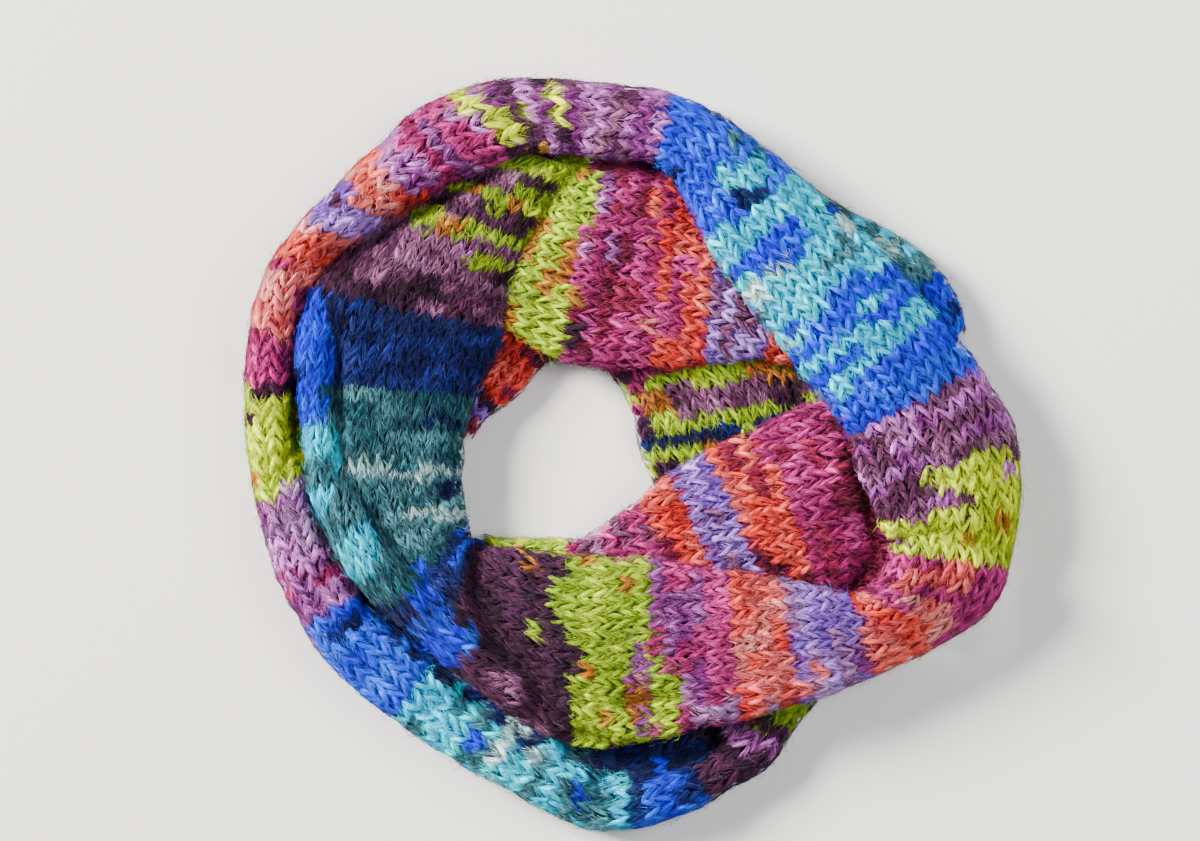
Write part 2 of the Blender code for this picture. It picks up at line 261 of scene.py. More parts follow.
def lay_cloth(run, stitch_width, folds=(), slip=((0, 0),)):
    """The run's rings, evenly spaced by the row along the crest, and the same rings read at even
    steps of arc length either side of the crest, so that a stitch is as wide over a roll as on a flat.
    Width and slip are pairs of section and mm, and folds are added to the rings."""
    coarse = np.linspace(0, len(run) - 1, CREST_STEPS * (len(run) - 1) + 1)
    crest = tube(smooth_rows(run, coarse))[:, CREST]
    row_at = arc_length(crest[None])[0] / ROW
    lines = np.arange(0, int(row_at[-1] * ROW_LINES) + 1) / ROW_LINES
    places = np.interp(lines, row_at, coarse)
    rings = relieved(tube(smooth_rows(run, places)), table(Fold, *folds))
    normals = outward(rings)
    arc = arc_length(rings)
    width = np.interp(places, *zip(*stitch_width))
    shift = np.interp(places, *zip(*slip))
    stitch = np.arange(-WALES * WALE_LINES, WALES * WALE_LINES + 1) / WALE_LINES
    want = stitch[None, :] * width[:, None] + shift[:, None] + arc[:, CREST, None]
    both = np.concatenate([rings, normals], axis=2)
    read = np.array([
        [np.interp(want[k], arc[k], both[k, :, part]) for part in range(6)] for k in range(len(rings))
    ]).transpose(0, 2, 1)
    shown = (want > 0) & (want < arc[:, -1:])
    return Cloth(read[:, :, :3], read[:, :, 3:], shown, places, (coarse, row_at), rings, normals, width)


def on_cloth(grid, row, stitch):
    """A grid's values between its lines, at any row and stitch, mixed from the nearest four."""
    r = np.clip(row * ROW_LINES, 0, grid.shape[0] - 1.001)
    s = np.clip((stitch + WALES) * WALE_LINES, 0, grid.shape[1] - 1.001)
    i, j = r.astype(int), s.astype(int)
    a, b = (r - i)[..., None], (s - j)[..., None]
    return (
        grid[i, j] * (1 - a) * (1 - b)
        + grid[i + 1, j] * a * (1 - b)
        + grid[i, j + 1] * (1 - a) * b
        + grid[i + 1, j + 1] * a * b
    )


# Where a stripe opens along the run, its colour, and a second one with its share of the stitches
Stripe = namedtuple("Stripe", "opens main second share")
# A place where the yarn's colour differs: its middle and half-axes in plan, and the share of stitches
Patch = namedtuple("Patch", "x y across up tone share")
# What the yarn of a stretch does: its stripes in order, patches over them, and random fields along it
Yarn = namedtuple("Yarn", "stripes patches fields")
ROUND = 32  # stitches in a round
FIELD_LENGTH = 2000
FIELD_GAIN = 1.2  # makes up for what reading between its numbers evens out
STRIPE_SHIFT = 0.09  # in sections, sooner or later
CHANCE_GAIN = 0.36  # turns a field into a chance from 0 to 1
STRIPE_REACH, SECOND_REACH, PATCH_REACH = 3.2, 1.7, 1.5  # stitches alike


def along_yarn(yarn, field, row, stitch, reach):
    """A random field read along the yarn, which runs round by round, so that neighbours in a row are
    alike over so many stitches; about 1 wide either way."""
    path = (row * ROUND + stitch + ROUND) / reach
    field_at = np.interp(path % (FIELD_LENGTH - 1), np.arange(FIELD_LENGTH), yarn.fields[field])
    return FIELD_GAIN * field_at


def yarn_tones(yarn, section, row, stitch, x, y):
    """The yarn's colour at each stitch. A stripe opens at its place along the band, sooner or later by
    up to a row or so as the yarn happens to run, and has a second colour for a share of its length.
    Patches of another colour lie over them."""
    place = section + STRIPE_SHIFT * along_yarn(yarn, 0, row, stitch, STRIPE_REACH)
    opens, mains, seconds, shares = zip(*yarn.stripes)
    which = np.clip(np.searchsorted(opens, place, side="right") - 1, 0, len(opens) - 1)
    main, second = (np.array([TONES.index(tone) for tone in tones])[which] for tones in (mains, seconds))
    chance = np.clip(0.5 + CHANCE_GAIN * along_yarn(yarn, 1, row, stitch, SECOND_REACH), 0, 1)
    tone = np.where(chance < np.array(shares)[which], second, main)
    chance = np.clip(0.5 + CHANCE_GAIN * along_yarn(yarn, 2, row, stitch, PATCH_REACH), 0.001, 1)
    for patch in yarn.patches:
        inside = ((x - patch.x) / patch.across) ** 2 + ((y - patch.y) / patch.up) ** 2 < 1
        tone = np.where(inside & (chance < patch.share), TONES.index(patch.tone), tone)
    return tone


DEEP, PALE = (np.array([linear(colours[k]) for colours in YARN.values()]) for k in (0, 1))


def make_mesh(name, points, corners, sizes, maps, colours):
    """A mesh object from arrays: points in mm, the corners of all faces in a row, the faces' sizes, UV
    maps by corner and colours by point."""
    mesh = bpy.data.meshes.new(name)
    mesh.vertices.add(len(points))
    mesh.vertices.foreach_set("co", (points * MM).astype(np.float32).ravel())
    mesh.loops.add(len(corners))
    mesh.loops.foreach_set("vertex_index", corners.astype(np.int32))
    mesh.polygons.add(len(sizes))
    mesh.polygons.foreach_set("loop_start", (np.cumsum(sizes) - sizes).astype(np.int32))
    mesh.polygons.foreach_set("loop_total", sizes.astype(np.int32))
    mesh.update(calc_edges=True)
    mesh.polygons.foreach_set("use_smooth", np.ones(len(sizes), bool))
    for map_name, places in maps.items():
        layer = mesh.uv_layers.new(name=map_name)
        layer.uv.foreach_set("vector", places.astype(np.float32).ravel())
    for colour_name, values in colours.items():
        layer = mesh.color_attributes.new(colour_name, "FLOAT_COLOR", "POINT")
        layer.data.foreach_set("color", values.astype(np.float32).ravel())
    thing = bpy.data.objects.new(name, mesh)
    bpy.context.scene.collection.objects.link(thing)
    return thing


def closed(grid):
    """Rings with their first point again at their end."""
    return np.concatenate([grid, grid[:, :1]], axis=1)


def quads(grid):
    """A grid's values at the four corners of each cell, in order round the cell."""
    return np.stack([grid[:-1, :-1], grid[:-1, 1:], grid[1:, 1:], grid[1:, :-1]], axis=2)


def strand_corners(grid, start, end):
    """Values at the corners of a strand's faces: its quads, then the triangles round either tip."""
    first = np.stack([grid[0, 1:], grid[0, :-1], start], axis=1)
    last = np.stack([grid[-1, :-1], grid[-1, 1:], end], axis=1)
    return np.concatenate([part.reshape(-1, *grid.shape[2:]) for part in (quads(grid), first, last)])


CHART_MARGIN = 0.06  # of a cell, kept free round each strand


def spindles(name, rings, tips, deep, pale, offset):
    """Many closed strands in one mesh: each is a few rings of points between two tips. The map called
    strand runs along and round each strand, moved by its own offset; OFBake is a chart of cells."""
    count, lengths, around = rings.shape[:3]
    body = lengths * around
    points = np.concatenate([rings.reshape(count, body, 3), tips], axis=1).reshape(-1, 3)
    index = closed(np.arange(body).reshape(lengths, around))
    one = strand_corners(index, np.full(around, body), np.full(around, body + 1))
    corners = (one[None, :] + (np.arange(count) * (body + 2))[:, None]).ravel()
    sizes = np.tile(np.repeat([4, 3], [(lengths - 1) * around, 2 * around]), count)
    u, v = np.meshgrid(np.linspace(0.1, 0.9, lengths), np.arange(around + 1) / around, indexing="ij")
    middle = (v[0, :-1] + v[0, 1:]) / 2
    start, end = (np.stack([np.full(around, tip), middle], axis=1) for tip in (0, 1))
    one_uv = strand_corners(np.stack([u, v], axis=2), start, end)
    side = int(np.ceil(np.sqrt(count)))
    cell = np.stack([np.arange(count) % side, np.arange(count) // side], axis=1)
    chart = (cell[:, None, :] + CHART_MARGIN + (1 - 2 * CHART_MARGIN) * one_uv[None, :, :]) / side
    strand = one_uv[None, :, :] + offset[:, None, :]
    each = np.full(count, body + 2)
    return make_mesh(
        name, points, corners, sizes, {"strand": strand, "OFBake": chart},
        {"deep": np.repeat(deep, each, axis=0), "pale": np.repeat(pale, each, axis=0)},
    )


# A leg of a stitch: in rows along the cloth, in stitches across it, and in mm off it
LEG_RINGS, LEG_ROUND = 5, 6
LEG_ENDS = 0.06, 0.94  # its first and last ring, as shares of its length
LEG_FOOT, LEG_HEAD = 0.03, 0.50  # its ends, from the stitch's middle
LEG_START, LEG_REACH = -0.16, 1.40  # its start in its row, and its length
LEG_FLARE = 1.15  # how late it parts from the other leg
LEG_RISE, LEG_ARCH, LEG_DIVE, LEG_SINK = 0.35, 0.85, 0.55, 0.45
LEG_HALF_WIDTH, LEG_HALF_THICK = 0.166, 1.25
LEG_BLUNTNESS = 0.34  # a low power keeps it thick almost to its ends
# The spread of each measure from leg to leg
LEAN, SLANT, FLARE, START, REACH = 0.045, 0.11, 0.055, 0.09, 0.07
SIZE, BULGE, SKIN, SHADE = 0.15, 0.15, 0.045, 0.07
# Least upward part of the normal and least height, for stitches and for fibres
STITCHED, BRUSHED = (-0.6, 2.0), (-0.5, 2.5)


def places_seen(cloth, row, stitch, least_up, least_height):
    """Of places in rows and stitches, those where the cloth shows, doesn't face down and is off the
    table, and their points."""
    shown = on_cloth(cloth.shown[:, :, None].astype(float), row, stitch)[:, 0]
    up, place = on_cloth(cloth.normals, row, stitch)[:, 2], on_cloth(cloth.points, row, stitch)
    kept = (shown > 0.99) & (up > least_up) & (place[:, 2] > least_height)
    return kept, place[kept]


def tones_on(cloth, yarn, row, stitch, place):
    """The yarn's colour at stitches of a cloth."""
    section = np.interp(row, cloth.row_at[1], cloth.row_at[0])
    return yarn_tones(yarn, section, row, stitch, place[:, 0], place[:, 1])


def stitch_legs(cloth, rows, yarn, rng):
    """Every stitch of the rows as two legs, which start together in the row before, rise and part until
    they meet the neighbours' legs, and dive under the next row. Returns rings, tips and colours."""
    last = int((cloth.points.shape[0] - 1) / ROW_LINES) - 1
    row, stitch = np.meshgrid(
        np.arange(max(rows[0], 1), min(rows[1], last)), np.arange(-WALES + 1, WALES), indexing="ij"
    )
    row, stitch = row.ravel().astype(float), stitch.ravel().astype(float)
    kept, place = places_seen(cloth, row + 0.5, stitch, *STITCHED)
    row, stitch = row[kept], stitch[kept]
    tone = np.tile(tones_on(cloth, yarn, row, stitch, place), 2)
    row, stitch = np.tile(row, 2), np.tile(stitch, 2)
    side = np.repeat([-1.0, 1.0], len(row) // 2)
    count = len(row)
    colours = yarn_colours(yarn, tone, row, stitch, rng, SHADE)
    t = np.concatenate([[0], np.linspace(*LEG_ENDS, LEG_RINGS), [1]])[None, :]

    def uneven(spread):
        return rng.normal(0, spread, (count, 1))

    lean = uneven(LEAN) + uneven(SLANT) * (t - 0.5)
    head = LEG_HEAD + uneven(FLARE)
    across = side[:, None] * (LEG_FOOT + (head - LEG_FOOT) * np.sin(t * np.pi / 2) ** LEG_FLARE) + lean
    forward = LEG_START + uneven(START) + (LEG_REACH + uneven(REACH)) * t
    size = 1 + uneven(SIZE)
    bulge = LEG_RISE + LEG_ARCH * np.sin(np.pi * t) ** 0.8 - LEG_DIVE * t**4 + uneven(BULGE)
    waver = 0.2 * np.sin(stitch * 1.3 + row * 0.21) + 0.16 * np.sin(row * 0.9 - stitch * 0.37)
    r, s = row[:, None] + forward + waver[:, None], stitch[:, None] + across + 0.5 * waver[:, None]
    centre, normal = on_cloth(cloth.points, r, s), unit(on_cloth(cloth.normals, r, s))
    width = np.interp(row, np.arange(len(cloth.width)) / ROW_LINES, cloth.width)[:, None]
    centre = centre + normal * (bulge * size - LEG_SINK)[:, :, None]
    profile = np.sin(np.pi * t**1.1) ** LEG_BLUNTNESS
    skin = 1 + rng.normal(0, SKIN, (count, LEG_RINGS, LEG_ROUND, 1))
    half_width, half_thick = LEG_HALF_WIDTH * width * profile * size, LEG_HALF_THICK * profile * size
    return *strand_rings(centre, normal, half_width, half_thick, LEG_ROUND, skin), colours


TABLE_CLEAR = 0.1  # strands stay this far above the table


def strand_rings(centre, normal, half_width, half_thick, around, skin=1.0):
    """Rings of points round the inner points of many paths, ellipses that lie along the surface, and
    the two ends of each path. The skin makes their radii uneven."""
    wide = np.cross(normal, unit(np.gradient(centre, axis=1)))
    turn = np.arange(around) * 2 * np.pi / around - np.pi / 2
    inner = slice(1, centre.shape[1] - 1)
    rings = (
        centre[:, inner, None, :]
        + wide[:, inner, None, :] * (half_width[:, inner, None] * np.cos(turn))[..., None] * skin
        + normal[:, inner, None, :] * (half_thick[:, inner, None] * np.sin(turn))[..., None] * skin
    )
    tips = centre[:, [0, -1]]
    for points in (rings, tips):
        points[..., 2] = np.maximum(points[..., 2], TABLE_CLEAR)
    return rings, tips


LIGHT_GAIN, LIGHT_REACH = 0.13, 2.2  # how light the yarn is
PALE_GAIN, PALE_REACH, PALE_SPREAD = 0.34, 1.6, 0.09  # its pale fibres


def yarn_colours(yarn, tone, row, stitch, rng, spread):
    """Deep and pale colour of each strand; how light it is, and its share of pale fibres in alpha, run
    along the yarn and differ by a spread from strand to strand."""
    count = len(tone)
    lightness = LIGHT_GAIN * along_yarn(yarn, 3, row, stitch, LIGHT_REACH) + rng.normal(0, spread, count)
    light = np.exp(lightness)[:, None]
    share = 0.5 + PALE_GAIN * along_yarn(yarn, 4, row, stitch, PALE_REACH)
    share = np.clip(share + rng.normal(0, PALE_SPREAD, count), 0, 1)[:, None]
    return [np.concatenate([np.clip(sort[tone] * light, 0, 1), share], axis=1) for sort in (DEEP, PALE)]


# Fibres to a stitch, their lengths in rows and their radii in mm
LOOSE_HAIRS, HAIR_LENGTH, HAIR_RADIUS = 11, (0.5, 1.5), (0.07, 0.13)
LAID_WISPS, WISP_LENGTH, WISP_RADIUS = 17, (0.5, 1.0), (0.09, 0.20)
HAIR_ROOT, HAIR_LIFT = 1.7, (2.0, 0.62)  # mm off the cloth
WISP_ROOT, WISP_LIFT = 2.05, 0.3
HAIR_TURN, HAIR_CURL = 1.2, 0.9  # spreads, in radians
WISP_HEADING = 0.5, 0.32  # along a leg, and its spread
FIBRE_SHADE = 0.35


def wisps(cloth, rows, yarn, rng, loose, nap):
    """The brushed yarn's fibres, with the colour of the stitch that they come from. Short ones lie along
    the legs as flat wisps; loose ones are thin hairs that arch above them and curl. The nap says how far
    the wisps have been brushed along the rows' run: more of them, longer, and less along the legs."""
    first, last = max(rows[0], 0.5), min(rows[1], (cloth.points.shape[0] - 3) / ROW_LINES)
    each = LOOSE_HAIRS if loose else LAID_WISPS * nap
    count = int((last - first) * (2 * WALES - 2) * each)
    row, stitch = rng.uniform(first, last, count), rng.uniform(1 - WALES, WALES - 1, count)
    kept, place = places_seen(cloth, row, stitch, *BRUSHED)
    row, stitch = row[kept], stitch[kept]
    count = len(row)
    knot, wale = np.floor(row), np.round(stitch)
    colours = yarn_colours(yarn, tones_on(cloth, yarn, knot, wale, place), knot, wale, rng, FIBRE_SHADE)
    t = np.array([[0, 0.5, 1]])
    if loose:
        heading, length = rng.normal(0, HAIR_TURN, count), rng.uniform(*HAIR_LENGTH, count)
        curl = rng.normal(0, HAIR_CURL, (count, 1)) * t
        lift = HAIR_ROOT + rng.gamma(*HAIR_LIFT, (count, 1)) * np.array([[0, 1, 1.1]])
        radius = rng.uniform(*HAIR_RADIUS, (count, 1))
    else:
        heading = np.sign(stitch - wale) * rng.normal(*WISP_HEADING, count) / nap
        length = rng.uniform(*WISP_LENGTH, count) * nap
        curl = 0
        lift = WISP_ROOT + rng.normal(0, WISP_LIFT, (count, 1)) + WISP_LIFT * nap * np.sin(np.pi * t)
        radius = rng.uniform(*WISP_RADIUS, (count, 1))
    r = row[:, None] + np.cos(heading[:, None] + curl) * length[:, None] * (t - 0.5)
    s = stitch[:, None] + np.sin(heading[:, None] + curl) * length[:, None] * (t - 0.5) * 0.8
    normal = on_cloth(cloth.normals, r, s)
    centre = on_cloth(cloth.points, r, s) + normal * lift[:, :, None]
    radius = radius * np.ones(t.shape)
    return *strand_rings(centre, normal, radius, radius, 3), colours


def put(tree, kind, inputs=None, **settings):
    """A shader node in a tree, with its settings, and its inputs as values or as what feeds them."""
    node = tree.nodes.new("ShaderNode" + kind)
    for key, value in settings.items():
        setattr(node, key, value)
    for key, value in (inputs or {}).items():
        if isinstance(value, bpy.types.NodeSocket):
            tree.links.new(value, node.inputs[key])
        else:
            node.inputs[key].default_value = value
    return node


def maths(tree, operation, *values, clamp=False):
    """The outcome of one operation on values or on what feeds them."""
    return put(tree, "Math", dict(enumerate(values)), operation=operation, use_clamp=clamp).outputs[0]


def node_group(name, enter, leave):
    """A node group with one map going in and numbers coming out: the group, the map and the exits."""
    group = bpy.data.node_groups.new(name, "ShaderNodeTree")
    group.interface.new_socket(enter, in_out="INPUT", socket_type="NodeSocketVector")
    for name in leave:
        group.interface.new_socket(name, in_out="OUTPUT", socket_type="NodeSocketFloat")
    enter, leave = group.nodes.new("NodeGroupInput"), group.nodes.new("NodeGroupOutput")
    return group, enter.outputs[0], leave.inputs


LEG_SLOPE = 1.7  # rows that a leg climbs over a whole stitch


def knit_relief():
    """Node group: stocking stitch as a height, from a map in stitches and rows. Two slanted legs meet in
    each stitch; the height is a rounded bump along each leg times a rounded bump across it."""
    group, knit_map, leave = node_group("stocking_stitch", "Knit Map", ("Height",))
    apart = put(group, "SeparateXYZ", {0: knit_map})
    in_stitch = maths(group, "SUBTRACT", maths(group, "FRACT", apart.outputs[0]), 0.5)
    from_middle = maths(group, "ABSOLUTE", in_stitch)
    climb = maths(group, "MULTIPLY", from_middle, LEG_SLOPE)
    in_row = maths(group, "FRACT", maths(group, "SUBTRACT", apart.outputs[1], climb))
    leg = maths(group, "SINE", maths(group, "MULTIPLY", in_row, np.pi))
    width = maths(group, "SINE", maths(group, "MULTIPLY", from_middle, 2 * np.pi))
    along, across = maths(group, "POWER", leg, 0.6), maths(group, "ABSOLUTE", width)
    height = maths(group, "MULTIPLY", along, maths(group, "POWER", across, 0.5))
    group.links.new(height, leave["Height"])
    return group


def fibre_streaks():
    """Node group: fine streaks along a strand, from its own map, as a mask and a height."""
    group, strand_map, leave = node_group("fibre_streaks", "Strand Map", ("Mask", "Height"))
    drawn_out = {"Vector": strand_map, "Scale": (1.2, 5.0, 1.0), "Rotation": (0, 0, 0.3)}
    fibres = put(group, "Mapping", drawn_out).outputs["Vector"]
    streak = put(group, "TexNoise", {"Vector": fibres, "Scale": 1.8, "Detail": 2.0, "Roughness": 0.65})
    fine = put(group, "TexNoise", {"Vector": fibres, "Scale": 2.2, "Detail": 2.0})
    sharp = {"Value": streak.outputs["Fac"], "From Min": 0.43, "From Max": 0.59}
    group.links.new(put(group, "MapRange", sharp).outputs["Result"], leave["Mask"])
    group.links.new(fine.outputs["Fac"], leave["Height"])
    return group


STOCKING_STITCH, STREAKS = knit_relief(), fibre_streaks()
WOOL_SURFACE = {
    "Roughness": 0.92, "Specular IOR Level": 0.08, "Sheen Weight": 0.06, "Sheen Roughness": 0.45,
}
STREAK_SHARE = 0.55  # of pale fibres in a streak
STRAND_SHARE = 0.9, -0.42  # times a strand's own share of pale fibres, and plus
STRAND_BUMP = {"Strength": 0.85, "Distance": 0.0012}
GROUND_BUMP = {"Strength": 0.8, "Distance": 0.0015}


def principled(name, surface):
    """A material with a Principled shader that has these values, its tree and the shader's inputs."""
    material = bpy.data.materials.new(name)
    material.use_nodes = True
    inputs = material.node_tree.nodes["Principled BSDF"].inputs
    for key, value in surface.items():
        inputs[key].default_value = value
    return material, material.node_tree, inputs


def wool_material(name, strand):
    """Brushed wool: a dull Principled shader with sheen. On strands the deep and pale fibres mix by
    streaks; on the ground of the cloth the stocking stitch gives relief and lays painted shade between
    its legs."""
    material, tree, inputs = principled(name, WOOL_SURFACE)
    deep, pale = (put(tree, "Attribute", attribute_name=layer) for layer in ("deep", "pale"))
    chart = put(tree, "UVMap", uv_map="strand" if strand else "knit").outputs["UV"]
    if strand:
        streaks = put(tree, "Group", {0: chart}, node_tree=STREAKS)
        own = maths(tree, "MULTIPLY_ADD", deep.outputs["Alpha"], *STRAND_SHARE)
        share = maths(tree, "MULTIPLY_ADD", streaks.outputs["Mask"], STREAK_SHARE, own, clamp=True)
        relief = {"Height": streaks.outputs["Height"], **STRAND_BUMP}
    else:
        share = put(tree, "Group", {0: chart}, node_tree=STOCKING_STITCH).outputs["Height"]
        relief = {"Height": share, **GROUND_BUMP}
    shades = {"Factor": share, "A": deep.outputs["Color"], "B": pale.outputs["Color"]}
    tree.links.new(put(tree, "Mix", shades, data_type="RGBA").outputs["Result"], inputs["Base Color"])
    tree.links.new(put(tree, "Bump", relief).outputs["Normal"], inputs["Normal"])
    return material


YARN_WOOL = wool_material("brushed_wool_yarn", strand=True)
GROUND_WOOL = wool_material("knitted_wool_ground", strand=False)
HAZE_WOOL = wool_material("loose_wool_fibres", strand=True)

SHELL_ROUND = 48
SHELL_STEP = 2  # of the cloth's lines, one ring of the shell
SHELL_CLEAR = 0.05  # it stays this far above the table
# painted shade: the ground is the yarn's deep colour darkened, most between the legs and less on them
GROUND_PAINTED_SHADE = 0.28, 0.8  # of the yarn's deep colour, between the legs and on them


def ground_colours(tone, shades):
    """The ground's deep and pale colour by point, painted shade as shares of the yarn's deep one."""
    solid = np.ones((len(tone), 1))
    deep, pale = (np.concatenate([DEEP[tone] * shade, solid], axis=1) for shade in shades)
    return {"deep": deep, "pale": pale}


def shell(name, cloth, rows, yarn):
    """The tube's cloth as a closed ring of quads all the way round, sunk under the yarn's crests, with
    the stocking stitch's own map in stitches and rows, and given its wall."""
    last = min(int(rows[1] * ROW_LINES) + SHELL_STEP, len(cloth.rings))
    lines = slice(int(rows[0] * ROW_LINES), last, SHELL_STEP)
    rings, normals = cloth.rings[lines, :-1], cloth.ring_normals[lines, :-1]
    pick = np.round(np.linspace(0, rings.shape[1], SHELL_ROUND, endpoint=False)).astype(int)
    grid = (rings - normals * SHELL_SINK)[:, pick]
    grid[:, :, 2] = np.maximum(grid[:, :, 2], SHELL_CLEAR)
    arc = arc_length(cloth.rings[lines])
    width = cloth.width[lines][:, None]
    stitch = (arc - arc[:, CREST, None]) / width
    stitch = np.concatenate([stitch[:, pick], stitch[:, -1:]], axis=1)
    row = np.arange(lines.start, lines.stop, SHELL_STEP) / ROW_LINES
    row = np.repeat(row[:, None], SHELL_ROUND + 1, axis=1)
    knot, wale = np.floor(row[:, :-1]), np.round(stitch[:, :-1])
    section = cloth.section[lines][:, None]
    tone = yarn_tones(yarn, section, knot, wale, grid[:, :, 0], grid[:, :, 1]).ravel()
    colours = ground_colours(tone, GROUND_PAINTED_SHADE)
    count = len(rings)
    corners = quads(closed(np.arange(count * SHELL_ROUND).reshape(count, SHELL_ROUND))).ravel()
    uv = quads(np.stack([stitch, row + 0.5], axis=2)).reshape(-1, 2)
    sizes = np.full((count - 1) * SHELL_ROUND, 4)
    piece = make_mesh(name, grid.reshape(-1, 3), corners, sizes, {"knit": uv}, colours)
    wall = piece.modifiers.new("wall", "SOLIDIFY")
    wall.thickness = SHELL_WALL * MM
    wall.offset = -1
    piece.data.materials.append(GROUND_WOOL)
    middle = grid - normals[:, pick] * SHELL_WALL / 2
    middle_round = np.linalg.norm(middle - np.roll(middle, 1, axis=1), axis=2).sum(axis=1).mean()
    middle_length = np.linalg.norm(np.diff(middle, axis=0), axis=2).sum(axis=0).mean()
    flat = (float(middle_round) * MM, float(middle_length) * MM)
    return piece, flat


HAZE_GAIN, HAZE_BRIGHTEST, HAZE_LEAST = 1.5, 0.85, 0.01  # loose fibres catch the light
MAP_SPREAD = 90  # each strand's map starts somewhere else


def knit_stretch(node, cloth, sections, stripes, seed, patches=(), nap=1.25):
    """One stretch of the tube, dressed: its shell, which stands for the node, its stitches and its
    fibres, all riding with the scarf."""
    rows = np.interp(sections, cloth.row_at[0], cloth.row_at[1])
    rng = np.random.default_rng(seed)
    yarn = Yarn(table(Stripe, *stripes), table(Patch, *patches), rng.normal(0, 1, (5, FIELD_LENGTH)))
    piece, flat = shell(node + "_cloth", cloth, np.round(rows), yarn)
    dressed = [piece]
    whole = np.ceil(rows).astype(int)
    for name, made, wool in (
        ("_stitches", stitch_legs(cloth, whole, yarn, rng), YARN_WOOL),
        ("_wisps", wisps(cloth, rows, yarn, rng, loose=False, nap=nap), HAZE_WOOL),
        ("_hairs", wisps(cloth, rows, yarn, rng, loose=True, nap=nap), HAZE_WOOL),
    ):
        rings, tips, (deep, pale) = made
        if wool is HAZE_WOOL:
            brightest = pale[:, :3].max(axis=1, keepdims=True)
            pale[:, :3] = pale[:, :3] * np.minimum(HAZE_GAIN, HAZE_BRIGHTEST / brightest) + HAZE_LEAST
        moved = rng.uniform(0, MAP_SPREAD, (len(deep), 2))
        strands = spindles(node + name, rings, tips, deep, pale, moved)
        strands.data.materials.append(wool)
        dressed.append(strands)
    for thing in dressed:
        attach(thing, "root")
    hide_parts(node)


# The gutter between the lower roll and the front stretch
GUTTER = ((-122, -63), (-107, -77), (-96, -87), (-84, -97), (-72, -107), (-59, -117), (-46, -126))
BAND_FOLDS = (
    # the rolled edge along the left inner and front stretches, and the gutter beside it
    (((-143, 50), (-141, 10), (-138, -9), (-126, -30), (-115, -45), (-106, -58), (-89, -69),
      (-74, -84), (-60, -100), (-50, -108)), 5.5, 3.4),
    (((-131, 58), (-131, 10), (-128, -9), (-115, -29), (-103, -47), (-93, -56)), 4.5, -5.0),
    (((-57, -107), (-28, -122), (3, -126), (30, -117), (57, -108), (89, -101)), 7.0, 2.4),
    (((-70, -84), (-33, -107), (-5, -112), (22, -106)), 5.5, -2.6),
    # the left inner stretch's edge over the front stretch
    (((-79, -47), (-79, -64), (-75, -84), (-63, -97), (-52, -106)), 5.0, 2.0),
    (((-71, -45), (-70, -64), (-64, -82), (-53, -93), (-44, -99)), 4.5, -3.6),
    # the cleft under the outer roll, and the crease at the upper left
    (((-131, 84), (-114, 100), (-90, 115), (-62, 129), (-30, 133)), 6.0, -6.0),
    (((-26, 130), (-44, 96), (-62, 61)), 6.0, -3.5),
    (((-100, 100), (-78, 78), (-70, 56)), 9.0, 1.8),
    # the right turn's roll and the groove above it
    (((111, -64), (132, -51), (160, -56)), 9.0, 4.2),
    (((110, -48), (121, -37), (135, -34), (152, -38), (167, -43)), 4.2, -5.6),
    # the groove between the left roll and the left inner stretch
    (((-150, 80), (-152, 40), (-150, 8), (-146, -16), (-137, -40), (-124, -58)), 2.6, -3.4),
    # twists and pinches of the outer roll
    (((-152, 85), (-130, 99)), 4.5, -3.4),
    (((-140, 112), (-117, 104)), 5.0, -2.4),
    (((-168, -28), (-152, 4), (-150, 40)), 4.0, -3.0),
    (((-150, -74), (-128, -60)), 6.0, -1.6),
    (((-60, 163), (-42, 146)), 6.0, -1.8),
    (((-100, -116), (-72, -106), (-46, -118)), 5.0, -3.0),
    (((-20, -163), (-8, -134)), 6.0, -1.8),
    (((22, -156), (28, -128)), 6.0, 1.8),
    # the gutter, and the hollow below it
    (GUTTER, 4.5, -5.5),
    (((-26, -129), (-8, -135), (8, -139), (22, -135), (34, -127)), 9.0, -12.0),
    # the crossing's slack
    (((40, 132), (84, 84), (116, 34)), 10.0, 1.6),
    (((88, 104), (130, 58), (158, 12)), 6.0, -1.4),
    (((62, 74), (88, 96)), 6.0, -1.0),
    (((97, 22), (132, 46)), 7.0, 1.2),
)
BAND_CLOTH = lay_cloth(BAND, BAND_STITCH, BAND_FOLDS, BAND_SLIP)

knit_stretch(
    "bottom_outer_stretch", BAND_CLOTH, (0, 11),
    stripes=(
        (0, "lime", "plum", 0.1), (2.45, "plum", "mauve", 0.3), (3.9, "blue", "navy", 0.3),
        (5.0, "aqua", "teal", 0.4), (5.6, "teal", "aqua", 0.4), (6.3, "aqua", "teal", 0.4),
        (7.05, "cream", "aqua", 0.45), (7.4, "aqua", "teal", 0.35), (8.6, "blue", "navy", 0.15),
        (10.15, "mauve", "magenta", 0.35),
    ),
    patches=(
        # painted shade: the navy patches lie in the hollow below the front stretch and along the gutter,
        # where shade falls
        (-19, -155, 8, 6, "blue", 0.6), (-71, -127, 6, 6, "blue", 0.6), (4, -134, 32, 12, "navy", 1.0),
        (60, -110, 9, 16, "lime", 0.35), (-117, -68, 7, 7, "navy", 0.95),
        *((x, y, 7, 7, "navy", 0.95) for x, y in GUTTER[1:-1]), (-46, -126, 8, 7, "navy", 0.95),
    ),
    seed=11, nap=1.5,
)

# ---- The left outer stretch ----
# The narrow roll at the left, mauve, lime, magenta, orange and violet. The tube is rolled inwards on
# itself here, so few lines of stitches show, stretched wide over the roll.

